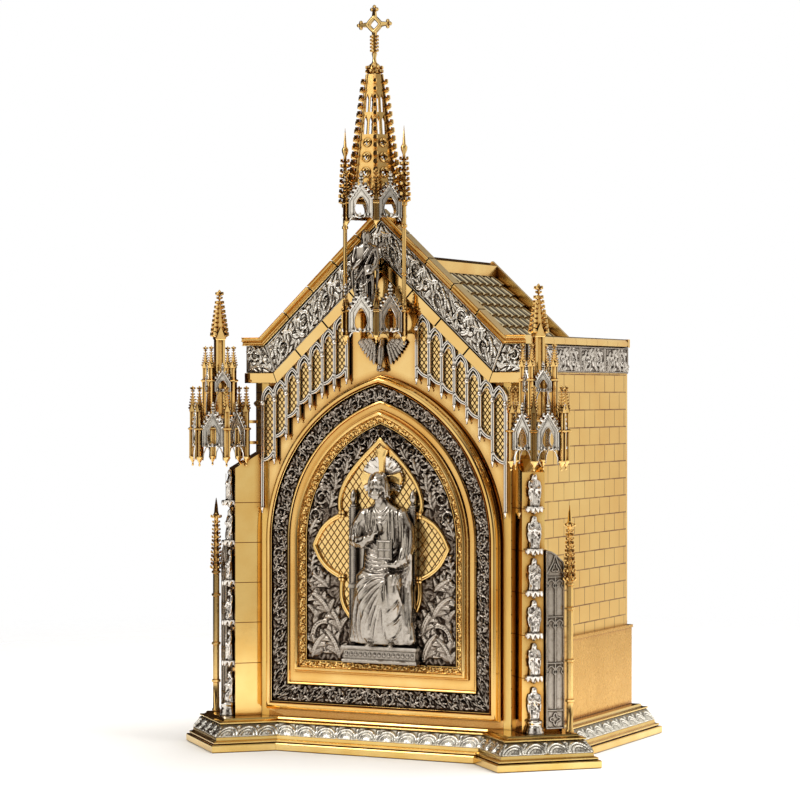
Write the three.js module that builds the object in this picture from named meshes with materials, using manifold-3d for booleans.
// Gothic altar tabernacle in gilt brass with oxidised silver ornament.
// Millimetres, +Z up. The origin is the middle of the underside of the base, and the front faces -Y.
import * as THREE from 'three';
import { mergeVertices } from 'three/addons/utils/BufferGeometryUtils.js';
import Module from 'manifold-3d';

// Driving dimensions

const GAP = 0.3;
const DEGREE = Math.PI / 180;

// Base: a moulded slab with a square foot set diagonally at each front corner.
const BASE_HEIGHT = 46.5;
const BASE_HALF_OUTLINE = [[159.3, -187.8], [227.2, -255.7], [337, -145.7], [272.7, -81.4], [272.7, 255.7]];
const BASE_PROFILE = [
  [0, 0], [0, 11], [5, 12], [5, 15.5], [8.5, 18.5], [8.5, 21], [20.5, 21], [20.5, 39],
  [17.5, 39], [17.5, 41.5], [25.4, 44], [25.4, BASE_HEIGHT],
];
const BAND_FOOT = [9.2, 21.3];
const BAND_HEAD = [18.2, 38.7];
const BAND_BACK = 20.2;
const SCALLOP_PITCH = 34;
const SCALLOP_RADIUS = 12.5;

// Body of the cabinet.
const FLOOR = BASE_HEIGHT + GAP;
const FACADE_FRONT = 153;
const SHEET = 6;
const FACADE_HALF_WIDTH = 190;
const WALL_OUTSIDE = 226;
const WALL_INSIDE = WALL_OUTSIDE - SHEET;
const BACK_OUTSIDE = 228.2;
const BACK_INSIDE = 222.3;
const CHAMFER = [201.8, -128.8];
const DADO_TOP = 163.5;
const DADO_OUTSIDE = 233.5;
const LEDGE_OUTSIDE = 235.5;
const LEDGE_HEIGHT = 4.5;

// Cornice and gable: bands that follow a level return and then the rake.
const CORNICE_TOP = 605;
const CORNICE_HALF_WIDTH = 229.5;
const RAKE = 43 * DEGREE;
const FRONT_KNEE = 198.5;
const COPING_HEIGHT = 12.5;
const FRIEZE_HEIGHT = 40;
const BLOCK_HEIGHT = 15;
const COPING_FRONT = 171.6;
const COPING_BACK = 146;
const BLOCK_FRONT = 163;
const FRIEZE_FRONT = 161;
const CORNICE_BACK = 230.4;
const FRIEZE_PITCH = 46;

// Roof between the two gables, covered with half-round tiles.
const REAR_KNEE = 134;
const RIDGE_TOP = 727;
const ROOF_DROP = 14;
const ROOF_SHEET = 4;
const TILE_PITCH = 24.5;
const TILE_RISE = 5;
const ROOF_FRONT = -146.6;
const ROOF_BACK = 221.9;

// Rising arcade either side of the door.
const BAY_COUNT = 7;
const BAY_WIDTH = 20;
const FIRST_COLUMN = 56.5;
const CAPITAL_HEIGHTS = [616, 597, 578, 559, 540, 522, 513, 508];
const PENDANT_HEIGHTS = [543, 532.5, 522, 505, 486, 461, 425, 353];
const BAY_SILLS = [557, 547, 534, 519, 499, 470, 435];
const ARCADE_FRONT = 167;

// Door: a pointed leaf hung at the viewer's left.
const ARCH_SPRING = 307;
const ARCH_CENTRE = 60.8;
const ARCH_STEPS = 5;
const DOOR_HALF_WIDTH = 188.5;
const DOOR_FOOT = 58;
const DOOR_BACK = 154;
const DOOR_FRONT = 172;
const OPENING_HALF_WIDTH = 150;
const OPENING_FOOT = 76;
const FIELD_HALF_WIDTH = 120.2;
const FIELD_FOOT = 133.8;
const FIELD_FRONT = 160;
const DOOR_LEAF_PITCH = 66;

// Diagonal piers, their side wings and the figures on them.
const PIER_BACK_MIDDLE = [214.95, -140.95];
const PIER_DEPTH = 40;
const PIER_WIDTH = 34;
const PIER_FRONT_TOP = 412;
const PIER_BACK_TOP = 435;
const WING_WIDTH = 28;
const WING_BACK = 7;
const WING_FRONT = 36;
const WING_TOP = 305;
const SAINT_FEET = [65.5, 127, 187, 246, 305, 364];
const SAINT_HEIGHT = 46;
const ROD_PLACE = [287, -142];
const ROD_TOP = 366;

// Canopies over the piers and the spire over the gable.
const CANOPY_PLACE = [257.1, -183.1];
const CANOPY_RADIUS = 41;
const LANTERN_RADIUS = 24;
const CANOPY_TOP = 676;
const SPIRE_AXIS = -182.6;
const SPIRE_RADIUS = 47.5;
const SPIRE_FOOT = 795.4;
const SPIRE_TOP = 980;
const CROSS_CENTRE = 1052;
const TOTAL_HEIGHT = 1080;

// Finishes

function finish(color, roughness) {
  return new THREE.MeshStandardMaterial({ color, roughness, metalness: 1 });
}
const polishedGold = finish('#e3b653', 0.14);
const satinGold = finish('#dcb257', 0.3);
const castGold = finish('#c98f35', 0.32);
const oxidisedSilver = finish('#b4b2ae', 0.36);
const latticeGold = finish('#d6a648', 0.28);

// Solids

const wasm = await Module();
wasm.setup();

function signedVolume(position, index) {
  const [a, b, c] = [new THREE.Vector3(), new THREE.Vector3(), new THREE.Vector3()];
  let volume = 0;
  for (let i = 0; i < index.length; i += 3) {
    a.fromBufferAttribute(position, index[i]);
    b.fromBufferAttribute(position, index[i + 1]);
    c.fromBufferAttribute(position, index[i + 2]);
    volume += a.dot(b.cross(c));
  }
  return volume;
}

// A closed shell with shared corners merged, no empty triangles and its faces outwards.
function clean(source) {
  const bare = new THREE.BufferGeometry();
  bare.setAttribute('position', source.getAttribute('position').clone());
  if (source.index) bare.setIndex(source.index.clone());
  const merged = mergeVertices(bare, 1e-3);
  const corners = merged.index.array;
  const kept = [];
  for (let i = 0; i < corners.length; i += 3) {
    const [a, b, c] = [corners[i], corners[i + 1], corners[i + 2]];
    if (a !== b && b !== c && c !== a) kept.push(a, b, c);
  }
  if (signedVolume(merged.getAttribute('position'), kept) < 0) kept.reverse();
  merged.setIndex(kept);
  return merged;
}

function toSolid(source) {
  const shell = clean(source);
  return new wasm.Manifold(new wasm.Mesh({
    numProp: 3,
    vertProperties: Float32Array.from(shell.getAttribute('position').array),
    triVerts: Uint32Array.from(shell.index.array),
  }));
}

function toGeometry(body) {
  const mesh = body.getMesh();
  const result = new THREE.BufferGeometry();
  result.setAttribute('position', new THREE.BufferAttribute(Float32Array.from(mesh.vertProperties), 3));
  result.setIndex(Array.from(mesh.triVerts));
  return result;
}

function join(pieces) {
  return toGeometry(pieces.map(toSolid).reduce((whole, piece) => whole.add(piece)));
}

function cut(body, tools) {
  return toGeometry(tools.map(toSolid).reduce((whole, tool) => whole.subtract(tool), toSolid(body)));
}

function shapeFrom(points) {
  const corners = points.map(([x, y]) => new THREE.Vector2(x, y));
  return new THREE.Shape(THREE.ShapeUtils.isClockWise(corners) ? corners.reverse() : corners);
}

function extrude(points, depth, holes = []) {
  const outline = shapeFrom(points);
  outline.holes = holes.map(shapeFrom);
  return new THREE.ExtrudeGeometry(outline, { depth, bevelEnabled: false, curveSegments: 1 });
}

// An outline in plan, raised from one height to another.
function raise(points, from, to) {
  return extrude(points, to - from).translate(0, 0, from);
}

// An outline in front elevation (across, up), standing between two distances in front of the middle.
function plate(points, back, front, holes = []) {
  return stand(extrude(points, front - back, holes).translate(0, 0, back));
}

// A drawing (across, up, out) turned to stand with its front towards -Y.
function stand(geometry) {
  return geometry.rotateX(Math.PI / 2);
}

function block(x0, x1, y0, y1, z0, z1) {
  const box = new THREE.BoxGeometry(x1 - x0, y1 - y0, z1 - z0);
  return box.translate((x0 + x1) / 2, (y0 + y1) / 2, (z0 + z1) / 2);
}

// A profile (radius, height) turned about the vertical with a few flat sides.
function turned(profile, sides, x = 0, y = 0, turn = 0) {
  const points = profile.map(([radius, height]) => new THREE.Vector2(radius, height));
  return new THREE.LatheGeometry(points, sides, turn).rotateX(Math.PI / 2).translate(x, y, 0);
}

// Rings with the same number of corners, skinned one to the next. An open skin is capped flat.
function loft(rings, closed = false) {
  const count = rings[0].length;
  const vertices = rings.flat().flat();
  const index = [];
  const spans = closed ? rings.length : rings.length - 1;
  for (let r = 0; r < spans; r += 1) {
    const low = r * count;
    const high = ((r + 1) % rings.length) * count;
    for (let i = 0; i < count; i += 1) {
      const j = (i + 1) % count;
      index.push(low + i, low + j, high + j, low + i, high + j, high + i);
    }
  }
  if (!closed) {
    const capPlane = flatAxes(rings[0]);
    for (const [ring, first, flip] of [[rings[0], 0, true], [rings.at(-1), spans * count, false]]) {
      const flat = ring.map((p) => new THREE.Vector2(p[capPlane[0]], p[capPlane[1]]));
      const turnsLeft = THREE.ShapeUtils.area(flat) > 0;
      for (const [a, b, c] of THREE.ShapeUtils.triangulateShape(flat, [])) {
        const forward = flip !== turnsLeft;
        index.push(first + a, first + (forward ? b : c), first + (forward ? c : b));
      }
    }
  }
  const result = new THREE.BufferGeometry();
  result.setAttribute('position', new THREE.Float32BufferAttribute(vertices, 3));
  result.setIndex(index);
  return result;
}

// The two axes in which a flat ring spreads most.
function flatAxes(ring) {
  const spread = [0, 1, 2].map((axis) => {
    const values = ring.map((p) => p[axis]);
    return Math.max(...values) - Math.min(...values);
  });
  const thinnest = spread.indexOf(Math.min(...spread));
  return [0, 1, 2].filter((axis) => axis !== thinnest);
}

// A level oval ring of a figure, with folds that stand in and out by turns.
function foldedRing(x, y, z, halfWidth, halfDepth, sides, fold = 0) {
  return Array.from({ length: sides }, (_, i) => {
    const angle = ((i + 0.5) / sides) * 2 * Math.PI;
    const swell = 1 + (i % 2 ? fold : -fold);
    return [x + halfWidth * swell * Math.sin(angle), y - halfDepth * swell * Math.cos(angle), z];
  });
}

// A straight limb with a square section between two points.
function limb(from, to, thickness) {
  const start = new THREE.Vector3(...from);
  const end = new THREE.Vector3(...to);
  const bar = new THREE.BoxGeometry(thickness, thickness, start.distanceTo(end) + thickness / 2);
  const aim = new THREE.Quaternion().setFromUnitVectors(
    new THREE.Vector3(0, 0, 1),
    end.clone().sub(start).normalize(),
  );
  const middle = start.add(end).multiplyScalar(0.5);
  return bar.applyQuaternion(aim).translate(middle.x, middle.y, middle.z);
}

const tabernacle = new THREE.Group();
const door = new THREE.Group();
tabernacle.add(door);

function addPiece(name, geometry, material, parent = tabernacle) {
  const mesh = new THREE.Mesh(clean(geometry), material);
  mesh.name = name;
  parent.add(mesh);
}

function mirrored(points) {
  return points.map(([x, ...rest]) => [-x, ...rest]);
}

// Both hands of a piece that stands at the viewer's left and right.
function addPair(name, makeRight, material) {
  for (const [side, hand] of [['left', -1], ['right', 1]]) {
    addPiece(`${name}_${side}`, makeRight().scale(hand, 1, 1), material);
  }
}

// Ornament, drawn lying flat (across, up, out)

const ROOTED = 0.8;

// A leaf: a long pyramid whose ridge rises to the middle.
function leaf(length, width, rise) {
  const cone = new THREE.ConeGeometry(1, 1, 4).rotateX(Math.PI / 2);
  return cone.scale(length / 2, width / 2, rise + ROOTED).translate(0, 0, (rise - ROOTED) / 2);
}

// A curled leaf end: a low six-sided boss.
function curl(radius, rise) {
  const cone = new THREE.CylinderGeometry(radius * 0.4, radius, rise + ROOTED, 6).rotateX(Math.PI / 2);
  return cone.translate(0, 0, (rise - ROOTED) / 2);
}

// One repeat of a foliate scroll: a curl with leaves that spring from its stem.
function scroll(pitch, height, rise, flip) {
  const up = flip ? -1 : 1;
  return [
    curl(height * 0.26, rise).translate(0, up * height * 0.1, 0),
    leaf(pitch * 0.62, height * 0.24, rise * 0.8)
      .rotateZ(up * 42 * DEGREE).translate(-pitch * 0.36, -up * height * 0.14, 0),
    leaf(pitch * 0.5, height * 0.22, rise * 0.8)
      .rotateZ(-up * 30 * DEGREE).translate(pitch * 0.22, up * height * 0.32, 0),
  ];
}

// Base

function insetOutline(points, distance) {
  return points.map((point, i) => {
    const before = points[(i + points.length - 1) % points.length];
    const after = points[(i + 1) % points.length];
    const along = (p, q) => new THREE.Vector2(q[0] - p[0], q[1] - p[1]).normalize();
    const [first, second] = [along(before, point), along(point, after)];
    const inward = new THREE.Vector2(-first.y - second.y, first.x + second.x);
    const reach = distance / (1 + first.dot(second));
    return [point[0] + inward.x * reach, point[1] + inward.y * reach];
  });
}

const baseOutline = [...BASE_HALF_OUTLINE, ...mirrored(BASE_HALF_OUTLINE).reverse()];

function baseRing([inset, height]) {
  return insetOutline(baseOutline, inset).map(([x, y]) => [x, y, height]);
}

// Scallop shells set upright along every visible side of the base.
function scallops() {
  const slope = Math.atan2(BAND_HEAD[0] - BAND_FOOT[0], BAND_HEAD[1] - BAND_FOOT[1]);
  const outline = insetOutline(baseOutline, BAND_FOOT[0]);
  const rearEdge = BASE_HALF_OUTLINE.length - 1;
  const shells = [];
  outline.forEach((start, i) => {
    if (i === rearEdge) return;
    const end = outline[(i + 1) % outline.length];
    const length = Math.hypot(end[0] - start[0], end[1] - start[1]);
    const count = Math.max(1, Math.round((length - SCALLOP_RADIUS) / SCALLOP_PITCH));
    const heading = Math.atan2(end[1] - start[1], end[0] - start[0]);
    for (let k = 0; k < count; k += 1) {
      const along = (k + 0.5) / count;
      const rim = [0, 90, 180].map((turn) => [
        SCALLOP_RADIUS * Math.cos(turn * DEGREE), 2 + SCALLOP_RADIUS * Math.sin(turn * DEGREE),
      ]);
      const shell = stand(extrude(rim, 3.2).translate(0, 0, -1)).rotateX(-slope).rotateZ(heading);
      shells.push(shell.translate(
        start[0] + (end[0] - start[0]) * along, start[1] + (end[1] - start[1]) * along, BAND_FOOT[1],
      ));
    }
  });
  return shells;
}

addPiece('base_plinth', loft(BASE_PROFILE.map(baseRing)), satinGold);
const bandRings = [BAND_FOOT, BAND_HEAD, [BAND_BACK, BAND_HEAD[1]], [BAND_BACK, BAND_FOOT[1]]];
addPiece('base_scallop_band', join([loft(bandRings.map(baseRing), true), ...scallops()]), oxidisedSilver);

// Gable lines

// The line of a cornice at a depth below its top: level at the ends, then up the rake to the apex.
function gableLine(depth, knee, halfWidth = CORNICE_HALF_WIDTH) {
  const level = CORNICE_TOP - depth;
  const turn = knee - depth * Math.tan(RAKE / 2);
  const apex = CORNICE_TOP + knee * Math.tan(RAKE) - depth / Math.cos(RAKE);
  return [[-halfWidth, level], [-turn, level], [0, apex], [turn, level], [halfWidth, level]];
}

function gableBand(top, bottom, knee, halfWidth) {
  return [...gableLine(top, knee, halfWidth), ...gableLine(bottom, knee, halfWidth).reverse()];
}

// The right half of such a band, stopped short of the middle.
function halfBand(top, bottom, knee, halfWidth) {
  const upper = gableLine(top, knee, halfWidth).slice(2);
  const lower = gableLine(bottom, knee, halfWidth).slice(2);
  const clear = ([, apex]) => [GAP, apex - GAP * Math.tan(RAKE)];
  return [clear(upper[0]), ...upper.slice(1), ...lower.slice(1).reverse(), clear(lower[0])];
}

// Pointed outlines

// A pointed arch on straight sides: foot corners, then up one side, over the point and down the other.
function archOutline(halfWidth, foot) {
  const radius = halfWidth + ARCH_CENTRE;
  const point = Math.acos(ARCH_CENTRE / radius);
  const side = Array.from({ length: ARCH_STEPS + 1 }, (_, i) => {
    const angle = (point * i) / ARCH_STEPS;
    return [radius * Math.cos(angle) - ARCH_CENTRE, ARCH_SPRING + radius * Math.sin(angle)];
  });
  const other = mirrored(side.slice(0, -1)).reverse();
  return [[-halfWidth, foot], [halfWidth, foot], ...side, ...other];
}

function archRing([halfWidth, foot, out]) {
  return archOutline(halfWidth, foot).map(([x, z]) => [x, -out, z]);
}

// Body

function facadePlate() {
  const depth = COPING_HEIGHT + GAP;
  const apex = gableLine(depth, FRONT_KNEE)[2][1];
  const shoulder = apex - FACADE_HALF_WIDTH * Math.tan(RAKE);
  const outline = [
    [-FACADE_HALF_WIDTH, FLOOR], [FACADE_HALF_WIDTH, FLOOR], [FACADE_HALF_WIDTH, shoulder], [0, apex],
    [-FACADE_HALF_WIDTH, shoulder],
  ];
  return plate(outline, FACADE_FRONT - SHEET, FACADE_FRONT, [archOutline(OPENING_HALF_WIDTH, OPENING_FOOT)]);
}

// A side wall with its front corner cut off square to the diagonal, and the solid corner under the cornice.
function wallRight() {
  const lip = FACADE_HALF_WIDTH + GAP;
  const wallTop = CORNICE_TOP - COPING_HEIGHT - GAP;
  const cornerFoot = CORNICE_TOP - COPING_HEIGHT - FRIEZE_HEIGHT - BLOCK_HEIGHT;
  const innerTurn = SHEET * Math.tan(22.5 * DEGREE);
  const plan = [
    [WALL_OUTSIDE, BACK_INSIDE - GAP], [WALL_OUTSIDE, CHAMFER[1]], [CHAMFER[0], -FACADE_FRONT],
    [lip, -FACADE_FRONT], [lip, SHEET - FACADE_FRONT], [CHAMFER[0] - innerTurn, SHEET - FACADE_FRONT],
    [WALL_INSIDE, CHAMFER[1] + innerTurn], [WALL_INSIDE, BACK_INSIDE - GAP],
  ];
  const corner = [
    [WALL_OUTSIDE, CHAMFER[1] + 1], [CHAMFER[0] - 1, -FACADE_FRONT], [WALL_OUTSIDE, -FACADE_FRONT],
  ];
  return join([raise(plan, FLOOR, wallTop), raise(corner, cornerFoot, wallTop)]);
}

function dadoRight() {
  const inside = WALL_OUTSIDE + GAP;
  const front = CHAMFER[1] + 4;
  const board = block(inside, DADO_OUTSIDE, front, BACK_OUTSIDE, FLOOR, DADO_TOP);
  const ledge = block(inside, LEDGE_OUTSIDE, front, BACK_OUTSIDE, DADO_TOP, DADO_TOP + LEDGE_HEIGHT);
  return join([board, ledge]);
}

function backWall() {
  const line = gableLine(COPING_HEIGHT + GAP, REAR_KNEE, WALL_OUTSIDE);
  const outline = [[-WALL_OUTSIDE, FLOOR], [WALL_OUTSIDE, FLOOR], ...line.reverse()];
  return plate(outline, -BACK_OUTSIDE, -BACK_INSIDE);
}

addPiece('facade', facadePlate(), polishedGold);
addPair('wall', wallRight, satinGold);
addPiece('wall_back', backWall(), satinGold);
addPair('dado', dadoRight, satinGold);

// Cornice

function copingOver(knee, back, front) {
  const upper = plate(gableBand(0, COPING_HEIGHT * 0.5, knee), back, front);
  const lower = plate(gableBand(COPING_HEIGHT * 0.45, COPING_HEIGHT, knee), back, front - 3.5);
  return join([upper, lower]);
}

function gableFriezeRight() {
  const top = COPING_HEIGHT + GAP;
  const bottom = COPING_HEIGHT + FRIEZE_HEIGHT - GAP;
  const ground = plate(halfBand(top, bottom, FRONT_KNEE, WALL_OUTSIDE), FACADE_FRONT + GAP, FRIEZE_FRONT);
  const [, , , knee, end] = gableLine((top + bottom) / 2, FRONT_KNEE, WALL_OUTSIDE);
  const carving = [];
  const run = knee[0] - SPIRE_RADIUS;
  const count = Math.round(run / Math.cos(RAKE) / FRIEZE_PITCH);
  for (let i = 0; i < count; i += 1) {
    const back = (run * (i + 0.5)) / count;
    const [x, z] = [knee[0] - back, knee[1] + back * Math.tan(RAKE)];
    for (const piece of scroll(FRIEZE_PITCH, FRIEZE_HEIGHT, 5, i % 2)) {
      carving.push(piece.rotateZ(-RAKE).translate(x, z, FRIEZE_FRONT));
    }
  }
  const lastLeaf = leaf(34, 16, 4).rotateZ(50 * DEGREE);
  carving.push(lastLeaf.translate((knee[0] + end[0]) / 2 + 8, knee[1], FRIEZE_FRONT));
  return join([ground, ...carving.map(stand)]);
}

function sideFriezeRight() {
  const top = CORNICE_TOP - COPING_HEIGHT - GAP;
  const bottom = CORNICE_TOP - COPING_HEIGHT - FRIEZE_HEIGHT;
  const middle = (top + bottom) / 2;
  const ground = WALL_OUTSIDE + GAP;
  const face = ground + 1.4;
  const [start, end] = [-FACADE_FRONT, BACK_OUTSIDE];
  const panels = 6;
  const width = (end - start) / panels;
  const carving = [];
  for (let i = 0; i < panels; i += 1) {
    const centre = start + width * (i + 0.5);
    const lean = (i % 2 ? 40 : -40) * DEGREE;
    carving.push(leaf(width * 0.8, FRIEZE_HEIGHT * 0.36, 1.6).rotateZ(lean).translate(centre, middle, face));
    carving.push(leaf(width * 0.6, FRIEZE_HEIGHT * 0.3, 1.4).rotateZ(-lean).translate(centre, middle, face));
  }
  const raised = carving.map((piece) => stand(piece).rotateZ(Math.PI / 2));
  return join([block(ground, face, start, end, bottom, top), ...raised]);
}

function sideCopingRight() {
  const bottom = CORNICE_TOP - COPING_HEIGHT;
  const [front, back] = [GAP - COPING_BACK, BACK_INSIDE - GAP];
  const inside = WALL_INSIDE - 4;
  const round = [
    [inside, bottom], [CORNICE_HALF_WIDTH - 2, bottom], [CORNICE_HALF_WIDTH, bottom + 4],
    [CORNICE_HALF_WIDTH, bottom + 8], [CORNICE_HALF_WIDTH - 3, CORNICE_TOP], [inside, CORNICE_TOP],
  ];
  return plate(round, -back, -front);
}

addPiece('gable_coping', copingOver(FRONT_KNEE, COPING_BACK, COPING_FRONT), polishedGold);
addPair('gable_frieze', gableFriezeRight, oxidisedSilver);
const blockTop = COPING_HEIGHT + FRIEZE_HEIGHT;
const blockBand = gableBand(blockTop, blockTop + BLOCK_HEIGHT, FRONT_KNEE, WALL_OUTSIDE);
addPiece('gable_blocks', plate(blockBand, FACADE_FRONT + GAP, BLOCK_FRONT), polishedGold);
addPair('side_coping', sideCopingRight, polishedGold);
addPair('side_frieze', sideFriezeRight, oxidisedSilver);

// Roof

function roofRight() {
  const lowEdge = WALL_INSIDE - 2 * GAP - (ROOF_SHEET + TILE_RISE) * Math.sin(RAKE);
  const ridge = RIDGE_TOP - ROOF_DROP;
  const length = lowEdge / Math.cos(RAKE);
  const count = Math.floor((ROOF_BACK - ROOF_FRONT) / TILE_PITCH);
  const margin = (ROOF_BACK - ROOF_FRONT - count * TILE_PITCH) / 2;
  const tiles = [];
  for (let i = 0; i < count; i += 1) {
    const centre = ROOF_FRONT + margin + TILE_PITCH * (i + 0.5);
    tiles.push([centre - 9, ROOF_SHEET], [centre, ROOF_SHEET + TILE_RISE], [centre + 9, ROOF_SHEET]);
  }
  const section = [
    [ROOF_FRONT, 0], [ROOF_BACK, 0], [ROOF_BACK, ROOF_SHEET], ...tiles.reverse(), [ROOF_FRONT, ROOF_SHEET],
  ];
  const panel = extrude(section, length).rotateX(Math.PI / 2).rotateZ(Math.PI / 2);
  panel.rotateY(RAKE).translate(GAP, 0, ridge - (ROOF_SHEET + TILE_RISE) / Math.cos(RAKE));
  const [front, side] = [CHAMFER[0] - 4, CHAMFER[1] + 4];
  const ahead = ROOF_FRONT - 1;
  const cornerNotch = [[front, ahead], [WALL_OUTSIDE, ahead], [WALL_OUTSIDE, side + 4], [WALL_INSIDE, side]];
  return cut(panel, [raise(cornerNotch, DADO_TOP, CORNICE_TOP)]);
}

function ridgeCap() {
  const half = 9;
  const clear = 2 * GAP;
  const notch = RIDGE_TOP - ROOF_DROP + clear;
  const foot = notch - half * Math.tan(RAKE);
  const shoulder = RIDGE_TOP - 5;
  const section = [
    [-half, foot], [0, notch], [half, foot], [half, shoulder], [0, RIDGE_TOP], [-half, shoulder],
  ];
  return plate(section, -ROOF_BACK, -ROOF_FRONT);
}

addPair('roof_tiles', roofRight, oxidisedSilver);
addPiece('roof_ridge', ridgeCap(), polishedGold);
const rearBand = gableBand(0, COPING_HEIGHT, REAR_KNEE);
addPiece('rear_coping', plate(rearBand, -CORNICE_BACK, -BACK_INSIDE), polishedGold);

// Arcade

const LIGHT_RISE = 14;
const HEAD_RISE = 19;
const LATTICE_THICKNESS = 3;
const columnPlace = (i) => FIRST_COLUMN + BAY_WIDTH * i;

function arcadeLattice() {
  const inset = 3.2;
  const capitals = CAPITAL_HEIGHTS.slice(0, BAY_COUNT);
  const top = capitals.map((capital, i) => [columnPlace(i) + BAY_WIDTH / 2, capital + LIGHT_RISE]);
  const sill = BAY_SILLS.flatMap((height, i) => [[columnPlace(i), height], [columnPlace(i + 1), height]]);
  sill[0][0] += inset;
  sill.at(-1)[0] -= inset;
  return plate([...sill, ...top.reverse()], FACADE_FRONT + GAP, FACADE_FRONT + LATTICE_THICKNESS);
}

function arcadeTracery() {
  const half = 2.6;
  const heads = [[FIRST_COLUMN - half, CAPITAL_HEIGHTS[0]]];
  const feet = [];
  const lights = [];
  for (let i = 0; i <= BAY_COUNT; i += 1) {
    const x = columnPlace(i);
    const pendant = PENDANT_HEIGHTS[i];
    feet.push([x - half, pendant + 7], [x, pendant], [x + half, pendant + 7]);
    if (i === BAY_COUNT) continue;
    const [middle, sill, capital] = [x + BAY_WIDTH / 2, BAY_SILLS[i], CAPITAL_HEIGHTS[i]];
    const right = x + BAY_WIDTH;
    feet.push([middle, sill - 5]);
    heads.push([middle, capital + HEAD_RISE], [right + half, capital]);
    if (i < BAY_COUNT - 1) heads.push([right + half, CAPITAL_HEIGHTS[i + 1] + 8]);
    lights.push([
      [x + half, sill], [right - half, sill], [right - half, capital], [middle, capital + LIGHT_RISE],
      [x + half, capital],
    ]);
  }
  const back = FACADE_FRONT + LATTICE_THICKNESS + GAP;
  return plate([...feet, ...heads.reverse()], back, ARCADE_FRONT, lights);
}

addPair('arcade_lattice', arcadeLattice, latticeGold);
addPair('arcade_tracery', arcadeTracery, oxidisedSilver);

// Door

const LEAF_PROFILE = [
  [184, 62.5, DOOR_BACK], [DOOR_HALF_WIDTH, DOOR_FOOT, 158], [DOOR_HALF_WIDTH, DOOR_FOOT, 166],
  [184.5, 62, 171], [176.2, 70.8, DOOR_FRONT], [176, 71, FIELD_FRONT], [153, 96, FIELD_FRONT],
  [153, 96, 164], [149.5, 99.5, 162.5], [141.3, 114.7, 162.5], [141.3, 114.7, 157.7],
];
const FOLIAGE_PROFILE = [
  [175.7, 71.3, 170.5], [153.3, 95.7, 163.5], [153.3, 95.7, FIELD_FRONT + GAP],
  [175.7, 71.3, FIELD_FRONT + GAP],
];
const INNER_FRAME_PROFILE = [
  [141, 115, 158], [141, 115, 166], [137, 119, 171], [132, 123, 171], [130.5, 124.5, 168.5],
  [121.5, 132.5, 162.5], [120.5, 133.5, 158],
];

// Leaves that follow the band round the door, tilted with its splay.
function bandLeaves() {
  const middle = archOutline(164.5, 83.5);
  const leaves = [];
  middle.forEach((start, i) => {
    const end = middle[(i + 1) % middle.length];
    const length = Math.hypot(end[0] - start[0], end[1] - start[1]);
    const count = Math.max(1, Math.round(length / DOOR_LEAF_PITCH));
    const heading = Math.atan2(end[1] - start[1], end[0] - start[0]);
    for (let k = 0; k < count; k += 1) {
      const share = (k + 0.5) / count;
      const piece = leaf((0.8 * length) / count, 13, 3.5);
      piece.rotateX(-17 * DEGREE).rotateZ(heading + 14 * DEGREE);
      const [x, z] = [start[0] + (end[0] - start[0]) * share, start[1] + (end[1] - start[1]) * share];
      leaves.push(stand(piece.translate(x, z, 167)));
    }
  });
  return leaves;
}

// Acanthus sprays that fill the field outside the quatrefoil, one hand of each pair.
const SPRAYS = [
  { at: [95, 165], size: 46, turn: 60 }, { at: [82, 205], size: 40, turn: 120 },
  { at: [100, 225], size: 34, turn: 40 }, { at: [84, 150], size: 30, turn: -20 },
  { at: [98, 360], size: 38, turn: 115 }, { at: [80, 390], size: 34, turn: 60 },
  { at: [58, 420], size: 36, turn: 130 }, { at: [30, 452], size: 26, turn: 145 },
];

function doorField() {
  const ground = plate(archOutline(FIELD_HALF_WIDTH, FIELD_FOOT), FIELD_FRONT - 2, FIELD_FRONT);
  const carving = SPRAYS.flatMap(({ at, size, turn }) => [1, -1].map((hand) => (
    leaf(size, size * 0.4, 5).rotateZ(hand * turn * DEGREE).translate(hand * at[0], at[1], FIELD_FRONT)
  )));
  return join([ground, ...carving.map(stand)]);
}

// Half of the quatrefoil frame: a pointed side lobe and half of the top lobe.
const LOBES = [[65, 253], [110, 301], [62, 348], [0, 455]];
const LOBE_SWELL = [0.22, 0.22, 0.16];

function quatrefoilHalf(inset) {
  const middle = new THREE.Vector2(0, 300);
  const path = [];
  for (let i = 0; i < LOBE_SWELL.length; i += 1) {
    const [from, to] = [LOBES[i], LOBES[i + 1]].map((p) => new THREE.Vector2(...p));
    const chord = to.clone().sub(from);
    const outward = new THREE.Vector2(chord.y, -chord.x);
    for (let k = i ? 1 : 0; k <= 4; k += 1) {
      const share = k / 4;
      const point = from.clone().addScaledVector(chord, share);
      point.addScaledVector(outward, LOBE_SWELL[i] * 4 * share * (1 - share));
      const inward = middle.clone().sub(point).normalize();
      path.push(point.addScaledVector(inward, inset).toArray());
    }
  }
  return path;
}

function quatrefoilOutline(inset) {
  const half = quatrefoilHalf(inset);
  return [...half, ...mirrored(half.slice(0, -1)).reverse()];
}

const FRAME_WIDTH = 8;

function quatrefoilFrame() {
  const outline = [...quatrefoilOutline(0), ...quatrefoilOutline(FRAME_WIDTH).reverse()];
  return plate(outline, FIELD_FRONT + GAP, 167);
}

function throne() {
  const back = FIELD_FRONT + 2.3;
  const pieces = [
    plate([[-50, 160], [50, 160], [50, 350], [38, 358], [-38, 358], [-50, 350]], back, back + 3.4),
    plate([[-62, 134], [62, 134], [62, 158.6], [-62, 158.6]], FIELD_FRONT + GAP, 190),
  ];
  for (const hand of [-1, 1]) {
    const x = 48 * hand;
    pieces.push(block(x - 5, x + 5, -174, -back, 158, 350));
    pieces.push(turned([[0, 349], [6, 350], [3.5, 355], [5, 362], [0, 369]], 5, x, -168));
    pieces.push(block(x - 6, x + 6, -184, -back, 158, 246));
  }
  return join(pieces);
}

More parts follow.
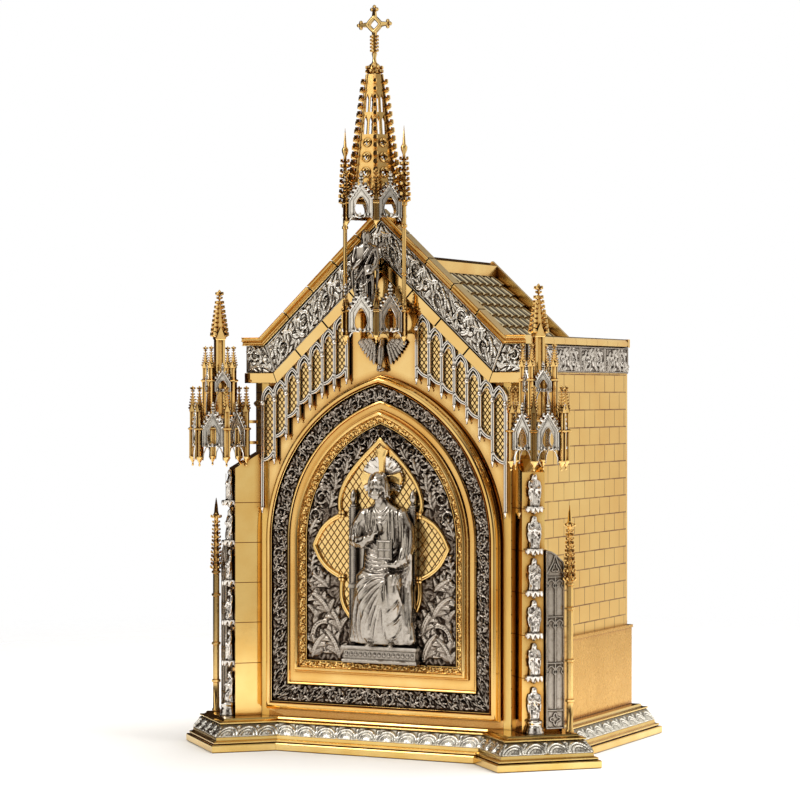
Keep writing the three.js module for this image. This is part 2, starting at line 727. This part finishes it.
// The seated figure: robe over the knees, body, head, blessing arm and the arm with the book.
function seatedFigure() {
  const sides = 8;
  const robe = loft([
    foldedRing(0, -180, 159, 38, 13, sides, 0.1), foldedRing(0, -181, 205, 33, 14, sides, 0.12),
    foldedRing(0, -184, 250, 40, 18, sides, 0.06), foldedRing(0, -180, 272, 38, 13, sides, 0.04),
    foldedRing(0, -178, 286, 30, 11, sides), foldedRing(0, -178, 352, 34, 11, sides, 0.04),
    foldedRing(1, -177, 369, 9, 8, sides),
  ]);
  const head = loft([
    foldedRing(2, -180, 366, 6, 6, 6), foldedRing(2, -181, 378, 12, 11, 6),
    foldedRing(2, -180, 398, 12.5, 11.5, 6), foldedRing(2, -179, 407, 4, 4, 6),
  ]);
  const knees = [-1, 1].map((hand) => limb([hand * 24, -184, 258], [hand * 20, -188, 168], 17));
  const arms = [
    limb([-30, -178, 352], [-39, -182, 314], 14), limb([-39, -182, 314], [-5, -194, 322], 11),
    limb([30, -178, 352], [39, -182, 310], 14), limb([39, -182, 310], [22, -193, 286], 11),
  ];
  const book = block(-12, 12, -4, 4, -15, 15).rotateX(12 * DEGREE).translate(19, -198, 296);
  const underfoot = block(-90, 90, -230, -100, 100, 159);
  const behind = block(-90, 90, -166, -100, 100, 450);
  const arm = [-1, 1].map((hand) => block(hand * 48 - 6.3, hand * 48 + 6.3, -184.3, -150, 100, 246.3));
  const post = [-1, 1].map((hand) => block(hand * 48 - 5.3, hand * 48 + 5.3, -174.3, -150, 100, 372));
  return cut(join([robe, head, ...knees, ...arms, book]), [underfoot, behind, ...arm, ...post]);
}

// Rayed shell behind the head.
function nimbus() {
  const rays = 10;
  const rim = Array.from({ length: rays * 2 }, (_, i) => {
    const angle = (i / (rays * 2)) * 2 * Math.PI;
    const radius = i % 2 ? 24.5 : 27.5;
    return [2 + radius * Math.sin(angle), 389 + radius * Math.cos(angle)];
  });
  return cut(plate(rim, FIELD_FRONT + 2.3, 165.6), [block(-60, 60, -170, -150, 340, 358.4)]);
}

addPiece('door_leaf', loft(LEAF_PROFILE.map(archRing)), polishedGold, door);
const foliageGround = loft(FOLIAGE_PROFILE.map(archRing), true);
addPiece('door_foliage_band', join([foliageGround, ...bandLeaves()]), oxidisedSilver, door);
addPiece('door_inner_frame', loft(INNER_FRAME_PROFILE.map(archRing), true), castGold, door);
addPiece('door_field', doorField(), oxidisedSilver, door);
addPiece('quatrefoil_frame', quatrefoilFrame(), polishedGold, door);
const latticeOutline = quatrefoilOutline(FRAME_WIDTH + GAP);
addPiece('quatrefoil_lattice', plate(latticeOutline, FIELD_FRONT + GAP, FIELD_FRONT + 2), latticeGold, door);
addPiece('throne', throne(), oxidisedSilver, door);
addPiece('nimbus', nimbus(), oxidisedSilver, door);
addPiece('seated_figure', seatedFigure(), oxidisedSilver, door);

// Piers

// Turns a piece drawn at the origin with its front to -Y on to the right-hand diagonal.
function toDiagonal(geometry, [x, y]) {
  return geometry.rotateZ(45 * DEGREE).translate(x, y, 0);
}

function pierRight() {
  const half = PIER_WIDTH / 2;
  const shaft = loft([-half, half].map((x) => [
    [x, 0, FLOOR], [x, -PIER_DEPTH, FLOOR], [x, -PIER_DEPTH, PIER_FRONT_TOP], [x, 0, PIER_BACK_TOP],
  ]));
  const wing = [
    [half - 1, FLOOR], [half + WING_WIDTH, FLOOR], [half + WING_WIDTH, WING_TOP - 19],
    [half + WING_WIDTH * 0.6, WING_TOP - 8], [half - 1, WING_TOP],
  ];
  return toDiagonal(join([shaft, plate(wing, WING_BACK, WING_FRONT)]), PIER_BACK_MIDDLE);
}

// Silver tracery on the wing: tiers of paired lancets over a round opening.
function wingTracery() {
  const [left, right] = [PIER_WIDTH / 2 + 2, PIER_WIDTH / 2 + WING_WIDTH - 2];
  const middle = (left + right) / 2;
  const [back, front] = [WING_FRONT + GAP, WING_FRONT + 2.4];
  const lancet = (x, foot, height) => [
    [x - 3, foot], [x + 3, foot], [x + 3, foot + height - 8], [x, foot + height], [x - 3, foot + height - 8],
  ];
  const tiers = [[98, 80], [188, 80]];
  const pair = ([foot, height]) => [-1, 1].map((hand) => lancet(middle + hand * 4.8, foot, height));
  const lights = tiers.flatMap(pair);
  lights.push([[middle, 62], [middle + 7, 74], [middle, 86], [middle - 7, 74]]);
  const outline = [[left, FLOOR + 6], [right, FLOOR + 6], [right, 272], [middle, 288], [left, 284]];
  const openings = lights.map((light) => plate(light, back - 1, front + 1));
  return toDiagonal(cut(plate(outline, back, front), openings), PIER_BACK_MIDDLE);
}

// The rings of a robed saint on a leaf corbel, from the corbel's tip up to the crown of the head.
function saintRings(feet) {
  const out = -9.5;
  const sides = 5;
  return [
    foldedRing(0, out, feet - 11, 2.5, 2.5, sides), foldedRing(0, out, feet - 1, 8.5, 8.5, sides),
    foldedRing(0, out, feet + 32, 8.5, 6, sides), foldedRing(0, out, feet + 36, 3, 3, sides),
    foldedRing(0, out - 0.5, feet + 40, 4.6, 4.8, sides),
    foldedRing(0, out, feet + SAINT_HEIGHT, 2.4, 2.4, sides),
  ];
}

// Six saints, one above another, on a round foot.
function saintsRight() {
  const foot = [[10.5, FLOOR], [10.5, FLOOR + 6], [6, FLOOR + 13]];
  const footRings = foot.map(([radius, z]) => foldedRing(0, -11, z, radius, radius * 0.95, 5));
  const saints = SAINT_FEET.flatMap((feet, i) => (i ? saintRings(feet) : saintRings(feet).slice(1)));
  const column = loft([...footRings, ...saints]);
  return toDiagonal(column.translate(0, -PIER_DEPTH - GAP, 0), PIER_BACK_MIDDLE);
}

function rodPinnacle() {
  const profile = [
    [0, FLOOR], [6, FLOOR], [3.2, 66], [3, 219], [5, 223], [3, 227], [3, 254], [5.2, 258], [4.6, 268],
    [0, ROD_TOP],
  ];
  return turned(profile, 5, ...ROD_PLACE);
}

addPair('pier', pierRight, satinGold);
addPair('wing_tracery', wingTracery, oxidisedSilver);
addPair('pier_saints', saintsRight, oxidisedSilver);
addPair('rod_pinnacle', rodPinnacle, castGold);

// Canopies

// A gabled window panel: a pointed light under a steep gable. The panels at the back are blind.
function gabletPanel(width, foot, shoulder, peak, out, pierced) {
  const half = width / 2;
  const outline = [[-half, foot], [half, foot], [half, shoulder], [0, peak], [-half, shoulder]];
  const light = half * 0.62;
  const rise = peak - shoulder;
  const widest = shoulder - rise * 0.3;
  const window = [[0, foot + 4], [light, widest], [0, shoulder + rise * 0.45], [-light, widest]];
  return plate(outline, out - 2.4, out, pierced ? [window] : []);
}

function panelsRound(sides, radius, panel) {
  const apothem = radius * Math.cos(Math.PI / sides);
  const width = 2 * radius * Math.sin(Math.PI / sides);
  return Array.from({ length: sides }, (_, i) => {
    const turn = (i / sides) * 2 * Math.PI;
    const facesForward = Math.cos(turn) > -0.1;
    return gabletPanel(width, ...panel, apothem, facesForward).rotateZ(turn);
  });
}

function postsRound(sides, radius, profile, chosen = () => true) {
  const posts = [];
  for (let i = 0; i < sides; i += 1) {
    const angle = ((i + 0.5) / sides) * 2 * Math.PI;
    if (chosen(i)) posts.push(turned(profile, 4, radius * Math.sin(angle), -radius * Math.cos(angle), angle));
  }
  return posts;
}

function polygon(sides, radius) {
  return Array.from({ length: sides }, (_, i) => {
    const angle = ((i + 0.5) / sides) * 2 * Math.PI;
    return [radius * Math.sin(angle), -radius * Math.cos(angle)];
  });
}

const CANOPY_FLOOR = [486, 490];

function canopyLowerTier() {
  const reach = Math.hypot(CANOPY_PLACE[0] - PIER_BACK_MIDDLE[0], CANOPY_PLACE[1] - PIER_BACK_MIDDLE[1]);
  const posts = postsRound(6, CANOPY_RADIUS, [[0, 415], [3.6, 424], [3.6, 494], [0, 534]]);
  const vault = raise(polygon(6, CANOPY_RADIUS - 1.5), ...CANOPY_FLOOR);
  const bars = [447, 478].map((z) => block(-3, 3, CANOPY_RADIUS * 0.85, reach - 0.6, z, z + 5));
  return join([...posts, ...panelsRound(6, CANOPY_RADIUS, [446, 470, 508]), vault, ...bars]);
}

function canopyUpperTier() {
  const foot = CANOPY_FLOOR[1] + GAP;
  const posts = postsRound(4, LANTERN_RADIUS, [[0, foot], [3, foot], [3, 548], [0, 593]]);
  return join([...posts, ...panelsRound(4, LANTERN_RADIUS, [509, 535, 567])]);
}

function canopySpirelet() {
  const foot = CANOPY_FLOOR[1] + GAP;
  const profile = [[0, foot], [7.2, foot], [7.2, 600], [10, 605]];
  const [low, high, tiers] = [608, 652, 3];
  for (let i = 0; i < tiers; i += 1) {
    const z = low + ((high - low) * i) / tiers;
    const narrowing = 1 - (z - low) / (CANOPY_TOP - low);
    profile.push([7 * narrowing, z], [9.4 * narrowing, z + 6]);
  }
  return turned([...profile, [1.6, high], [4, high + 7], [1.4, high + 12], [0, CANOPY_TOP]], 5);
}

addPair('canopy_lower_tier', () => toDiagonal(canopyLowerTier(), CANOPY_PLACE), castGold);
addPair('canopy_upper_tier', () => toDiagonal(canopyUpperTier(), CANOPY_PLACE), oxidisedSilver);
addPair('canopy_spirelet', () => toDiagonal(canopySpirelet(), CANOPY_PLACE), castGold);

// Spire over the gable

const GALLERY_FOOT = 603;
const GALLERY_FLOOR = [640, 644];
const GALLERY_POST_TOP = 646;
const isSidePost = (i) => i === 1 || i === 4;
const isFrontPost = (i) => i === 0 || i === 5;

// The half hexagon that stands out from the facade, carried back to it.
function galleryPlan(radius) {
  const [frontRight, right, , , left, frontLeft] = polygon(6, radius);
  const back = SPIRE_AXIS + FACADE_FRONT;
  return [frontRight, right, [right[0], -back - GAP], [left[0], -back - GAP], left, frontLeft];
}

function lowerGallery() {
  const inFront = (_, i) => i === 0 || i === 1 || i === 5;
  const panels = panelsRound(6, SPIRE_RADIUS, [GALLERY_FOOT, 636, 678]).filter(inFront);
  const front = postsRound(6, SPIRE_RADIUS, [[0, 596], [4, 603], [4, 644], [0, 662]], isFrontPost);
  const sidePost = [[0, 592], [4, 602], [4, GALLERY_POST_TOP], [0, GALLERY_POST_TOP]];
  const side = postsRound(6, SPIRE_RADIUS, sidePost, isSidePost);
  const floor = raise(galleryPlan(SPIRE_RADIUS - 1.5), ...GALLERY_FLOOR);
  return join([...panels, ...front, ...side, floor]).translate(0, SPIRE_AXIS, 0);
}

function upperTier() {
  const column = [
    [0, GALLERY_POST_TOP + GAP], [4, GALLERY_POST_TOP + GAP], [4, 842], [0, 904],
  ];
  const hung = [[0, 757], [4, 764], [4, 838], [0, 900]];
  const posts = [
    ...postsRound(6, SPIRE_RADIUS, column, isSidePost),
    ...postsRound(6, SPIRE_RADIUS, hung, (i) => !isSidePost(i)),
  ];
  const deck = raise(polygon(6, SPIRE_RADIUS - 1.5), SPIRE_FOOT - 5, SPIRE_FOOT - GAP);
  const panels = panelsRound(6, SPIRE_RADIUS, [770, 797, 836]);
  return join([...posts, deck, ...panels]).translate(0, SPIRE_AXIS, 0);
}

// A hollow six-sided spire, each side pierced by a lancet above a lozenge.
function spire() {
  const [footRadius, topRadius, wall] = [36, 12.5, 3];
  const ring = (radius, z) => polygon(6, radius).map(([x, y]) => [x, y, z]);
  const outside = loft([ring(footRadius, SPIRE_FOOT), ring(topRadius, SPIRE_TOP)]);
  const inside = loft([ring(footRadius - wall, SPIRE_FOOT - 1), ring(topRadius - wall, SPIRE_TOP - 8)]);
  const rise = SPIRE_TOP - SPIRE_FOOT;
  const lights = [[0.24, 0.11, 7], [0.64, 0.2, 3]];
  const openings = [0, 60, 120].flatMap((turn) => lights.map(([middle, half, width]) => {
    const z = SPIRE_FOOT + middle * rise;
    const outline = [[0, z - half * rise], [width, z], [0, z + half * rise], [-width, z]];
    return plate(outline, -80, 80).rotateZ(turn * DEGREE);
  }));
  return cut(outside, [inside, ...openings]).translate(0, SPIRE_AXIS, 0);
}

// Knob, neck and a cross whose arms run into a pierced diamond and end in trefoils.
function spireFinial() {
  const knobFoot = SPIRE_TOP + GAP;
  const knobProfile = [
    [0, knobFoot], [7, knobFoot], [12, knobFoot + 6], [8, knobFoot + 15], [3, 1008], [0, 1012],
  ];
  const knob = turned(knobProfile, 6);
  const reach = TOTAL_HEIGHT - CROSS_CENTRE;
  const bud = [[6, reach - 8], [2.6, reach - 12], [2.6, 8]];
  const arm = [...mirrored(bud).reverse(), [0, reach], ...bud];
  const outline = [0, 1, 2, 3].flatMap((quarter) => arm.map(([x, y]) => {
    const angle = -quarter * 90 * DEGREE;
    return [x * Math.cos(angle) - y * Math.sin(angle), x * Math.sin(angle) + y * Math.cos(angle)];
  }));
  const diamond = [[0, 6.5], [6.5, 0], [0, -6.5], [-6.5, 0]];
  const cross = plate(outline, -2.5, 2.5, [diamond]).translate(0, 0, CROSS_CENTRE);
  const stem = turned([[0, 1004], [4.5, 1008], [3.4, CROSS_CENTRE - 20], [0, CROSS_CENTRE - 18]], 6);
  return join([knob, cross, stem]).translate(0, SPIRE_AXIS, 0);
}

// A robed figure in the niche under the spire.
function nicheFigure() {
  const feet = GALLERY_FLOOR[1] + GAP;
  const rise = (share) => feet + share * 116;
  const [y, sides] = [SPIRE_AXIS, 8];
  const body = loft([
    foldedRing(0, y, rise(0), 19, 13, sides, 0.1), foldedRing(0, y, rise(0.4), 15, 12, sides, 0.12),
    foldedRing(0, y, rise(0.8), 17, 10, sides, 0.03), foldedRing(0, y, rise(0.86), 6, 6, sides),
    foldedRing(0, y - 1, rise(0.92), 8, 8.5, sides), foldedRing(0, y, rise(1), 3, 3, sides),
  ]);
  const arms = [-1, 1].map((hand) => limb([hand * 15, y, rise(0.76)], [hand * 6, y - 13, rise(0.6)], 7));
  return join([body, ...arms]);
}

// A dove with raised wings under the gallery, its head down and its tail at the top.
function doveCorbel() {
  const wing = [[3, 566], [16, 572], [37, 597], [36, 602], [20, 602], [3, 590]];
  const [back, front] = [FACADE_FRONT + GAP, FACADE_FRONT + 9];
  const wings = [wing, mirrored(wing)].map((outline) => plate(outline, back, front));
  const body = loft([
    foldedRing(0, -160, 553, 2, 2, 6), foldedRing(0, -162, 558, 5, 5, 6),
    foldedRing(0, -161, 564, 4, 4.5, 6), foldedRing(0, -162, 576, 9, 8, 6),
    foldedRing(0, -161, 590, 7, 6, 6), foldedRing(0, -158, 602, 8, 3, 6),
  ]);
  return join([...wings, body]);
}

addPiece('spire_lower_gallery', lowerGallery(), castGold);
addPiece('spire_upper_tier', upperTier(), castGold);
addPiece('spire', spire(), castGold);
addPiece('spire_finial', spireFinial(), polishedGold);
addPiece('niche_figure', nicheFigure(), oxidisedSilver);
addPiece('dove_corbel', doveCorbel(), oxidisedSilver);

export default tabernacle;
